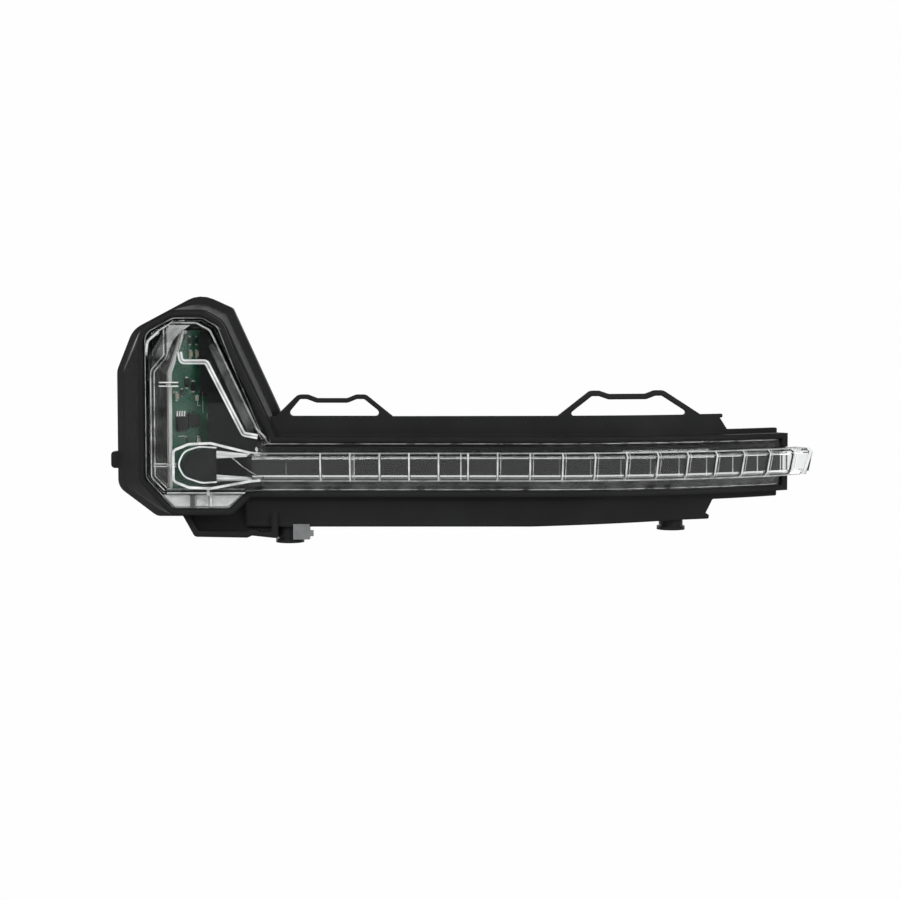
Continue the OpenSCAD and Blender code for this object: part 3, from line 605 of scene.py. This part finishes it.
# Distances of the fins along the bar: a closer row near the toe, and a wider one further out
FIN_START, FIN_PITCH_IN, FIN_COUNT_IN = 11.4, 9.5, 6
FIN_PITCH_OUT, FIN_COUNT_OUT = 10.5, 11
FIN_CHANGE = FIN_START + FIN_PITCH_IN * FIN_COUNT_IN
FINS = ([FIN_START + FIN_PITCH_IN * k for k in range(FIN_COUNT_IN)]
        + [FIN_CHANGE + FIN_PITCH_OUT * k for k in range(FIN_COUNT_OUT)])

# Painted highlights on each fin's face and on its far side where that shows, and four painted lines of
# highlight and sheen between fins: (s, half width, finish)
FIN_LINES = ([(s, 0.26, "rib") for s in FINS] + [(s + 1.0, 0.14, "haze") for s in FINS if s > 60]
             + [(0.4, 0.2, "veil"), (21.6, 0.44, "veil"), (22.3, 0.14, "haze"), (56.6, 0.14, "rib")])


def make_fin_lines():
    for index, (s, half, finish) in enumerate(FIN_LINES):
        make_cross_band("fin_line_%02d" % (index + 1), s, half, finish)


# Painted highlight on the rim of the bar's clear end, which is cut at a slant
def make_tip_rim():
    make_cross_band("tip_rim", 180.3, 0.75, "tip", slant=0.165)


# Where lines along the strip have a point: closer on the straight run than in the bend
STOPS = [-10.0 + 2.0 * k for k in range(46)] + [BEND_X + 3.0 * k for k in range(1, 34)]
BAR_REACH = (-10.0, 181.5)
FLANGE_REACH = (-8.0, 174.0)


# A line along the strip, `width` high, between the points (y, z) `front` and `back` of its profile
def make_strip_line(name, front, back, width, reach, finish):
    half = width / 2
    (y0, z0), (y1, z1) = front, back
    rings = []
    for s in STOPS:
        if reach[0] <= s <= reach[1]:
            rings.append([on_strip(s, y0, z0 + half), on_strip(s, y0, z0 - half),
                          on_strip(s, y1, z1 - half), on_strip(s, y1, z1 + half)])
    bm = bmesh.new()
    add_rings(bm, rings)
    make_piece(name, bm, finish)


# Painted highlight lines along three of the bar's front edges and the flange's two, and a painted sheen over
# its lower half
def make_strip_lines():
    front, back = bar_front(LINE_PROUD), bar_front(-LINE_SUNK)
    for name, corner, width, finish in (("bar_top_line", 1, 0.34, "rib"), ("bar_upper_line", 2, 0.16, "haze"),
                                        ("bar_base_line", 4, 0.4, "rib")):
        make_strip_line(name, front[corner], back[corner], width, BAR_REACH, finish)
    for name, z in (("flange_top_line", FLANGE_TOP), ("flange_low_line", FLANGE_LOW)):
        make_strip_line(name, (FLANGE_Y - PROUD, z), (FLANGE_Y + LINE_SUNK, z), 0.24, FLANGE_REACH, "line")
    margin = 0.2
    width = BAR_Z - BAR_HALF - FLANGE_LOW - 2 * margin
    z = FLANGE_LOW + margin + width / 2
    front, back = (FLANGE_Y - THIN_PROUD, z), (FLANGE_Y + THIN_SUNK, z)
    make_strip_line("flange_low_sheen", front, back, width, FLANGE_REACH, "veil")


# Solder on the board: (x, z, width, height) of each joint, a low dome
SOLDER = [(5.5, 50.3, 0.7, 0.7), (7.5, 50.5, 0.9, 0.5), (9.8, 50.5, 0.9, 0.5), (7.5, 47.9, 0.9, 0.5),
          (9.8, 47.9, 0.9, 0.5), (7.6, 43.6, 1, 0.6), (9.8, 43.6, 1, 0.6), (7.6, 46, 1, 0.6),
          (9.8, 46, 1, 0.6), (6.3, 37.1, 1.2, 0.7), (6.3, 33.7, 1.2, 0.7), (8.6, 35.9, 1.2, 0.7),
          (8.6, 32.5, 1.2, 0.7), (2.7, 32.3, 1, 0.6), (2.7, 29.7, 1, 0.6), (4.6, 33.4, 0.9, 0.5),
          (4.6, 31, 0.9, 0.5), (6, 17.8, 0.9, 0.5), (6, 15.1, 0.9, 0.5), (10.2, 17.7, 1, 0.5),
          (10.2, 15.1, 1, 0.5)]
# Rings of each dome, as (scale, rise), and the points on a ring
SOLDER_RINGS = ((1.0, 0.0), (0.92, 0.12), (0.6, 0.26))
SOLDER_SIDES = 12

# The driver's leads: the first one's x, their spacing, width and thickness to either side of the bends,
# which are (x, z, rise)
LEAD_START, LEAD_PITCH, LEAD_WIDTH, LEAD_COUNT = 2.4, 0.85, 0.42, 4
LEAD_FRONT, LEAD_BACK = 0.12, 0.1
LEAD_BENDS = ((0.0, 24.5, 0.5), (0.12, 25.1, 0.45), (0.22, 25.5, 0.12), (0.4, 26.2, 0.1))


def make_solder():
    bm = bmesh.new()
    for x, z, w, h in SOLDER:
        rings = []
        for scale, rise in SOLDER_RINGS:
            turns = [2 * math.pi * k / SOLDER_SIDES for k in range(SOLDER_SIDES)]
            rings.append([on_board(x + w / 2 * scale * math.cos(t), -rise, z + h / 2 * scale * math.sin(t))
                          for t in turns])
        add_rings(bm, rings)
    make_piece("solder_joints", bm, "solder", smooth=True)


def make_leads():
    bm = bmesh.new()
    for k in range(LEAD_COUNT):
        rings = []
        for dx, z, rise in LEAD_BENDS:
            left = LEAD_START + LEAD_PITCH * k + dx
            right = left + LEAD_WIDTH
            front, back = -rise - LEAD_FRONT, -rise + LEAD_BACK
            rings.append([on_board(left, front, z), on_board(right, front, z),
                          on_board(right, back, z), on_board(left, back, z)])
        add_rings(bm, rings)
    make_piece("driver_leads", bm, "solder")


# Thin printed outlines on the board, as (x0, z0, x1, z1)
PRINT = [(9.98, 27.8, 10.16, 31.7), (11.8, 25.4, 11.98, 31.7), (3.15, 17.85, 5.4, 18.05),
         (10.16, 27.8, 11.0, 27.95)]


def make_print():
    front, back = -0.02, 0.05
    bm = bmesh.new()
    for x0, z0, x1, z1 in PRINT:
        add_rings(bm, [[on_board(x, front, z0), on_board(x, front, z1),
                        on_board(x, back, z1), on_board(x, back, z0)] for x in (x0, x1)])
    make_piece("board_print", bm, "print")


# Strength of the white that shows behind the lamp
WHITE = 0.99


# White to the camera, and through the clear parts where depth y lies beyond `behind`; `level` to all else
def backdrop(tree, y, behind, level):
    rays = tree.add("ShaderNodeLightPath").outputs
    through = tree.math("MULTIPLY", tree.math("GREATER_THAN", y, behind), rays["Is Transmission Ray"])
    seen = tree.math("MAXIMUM", rays["Is Camera Ray"], through)
    return tree.mix(seen, level, WHITE, kind="FLOAT")


FLOOR_DROP = 0.06
FLOOR_SIZE = 6.0


# The floor glows softly, and is dim far in front of the lamp
def make_floor():
    half = FLOOR_SIZE / 2
    mesh = bpy.data.meshes.new("floor")
    corners = [(-half, -half, 0), (half, -half, 0), (half, half, 0), (-half, half, 0)]
    mesh.from_pydata(corners, [], [(0, 1, 2, 3)])
    floor = bpy.data.objects.new("floor", mesh)
    floor.location = (0.05, 0.0, cad_box[0][2] - FLOOR_DROP)
    bpy.context.collection.objects.link(floor)

    tree = Finish("floor_white")
    y = tree.depth()
    level = tree.remap(y, low=0.28, high=0.7, from_low=-0.9, from_high=-0.25)
    glow = tree.add("ShaderNodeEmission")
    tree.feed(glow.inputs["Strength"], backdrop(tree, y, 0.05, level))
    tree.feed(tree.output.inputs["Surface"], glow.outputs[0])
    mesh.materials.append(tree.material)


# A room that is dim in front of the lamp, so that clear faces don't mirror a white wall
def make_room():
    world = bpy.data.worlds.new("studio")
    bpy.context.scene.world = world
    tree = Tree(world)
    y = tree.depth("Generated")
    level = tree.remap(y, low=0.06, high=0.32, from_low=-0.95, from_high=-0.35, interpolation="SMOOTHSTEP")
    background = tree.nodes["Background"]
    background.inputs["Color"].default_value = (1.0, 1.0, 1.0, 1.0)
    tree.feed(background.inputs["Strength"], backdrop(tree, y, -0.5, level))


# Area lights, all aimed at the camera's aim: (name, place, width and height, power in watts)
LIGHTS = [
    ("key", (-0.3, -0.9, 0.6), (0.7, 0.6), 7.5),
    ("fill", (0.75, -0.75, 0.35), (0.5, 0.7), 5.0),
    ("rim", (0.25, 0.9, 0.62), (0.9, 0.4), 3.5),
    ("back", (-0.55, 0.85, 0.3), (0.6, 0.6), 7.0),
    ("back_fill", (0.75, 0.75, 0.2), (0.5, 0.5), 3.0),
]


def make_lights():
    for name, place, (width, height), power in LIGHTS:
        data = bpy.data.lights.new(name, "AREA")
        data.shape = "RECTANGLE"
        data.size = width
        data.size_y = height
        data.energy = power
        light = bpy.data.objects.new(name, data)
        light.location = place
        light.rotation_euler = (AIM - Vector(place)).to_track_quat("-Z", "Y").to_euler()
        light.visible_camera = False
        bpy.context.collection.objects.link(light)


make_camera()
dress_nodes()
make_highlight_lines()
make_wedges()
make_panels()
make_board_edge()
make_fin_lines()
make_tip_rim()
make_strip_lines()
make_solder()
make_leads()
make_print()
make_floor()
make_room()
make_lights()

scene = bpy.context.scene
scene.view_settings.view_transform = "Standard"
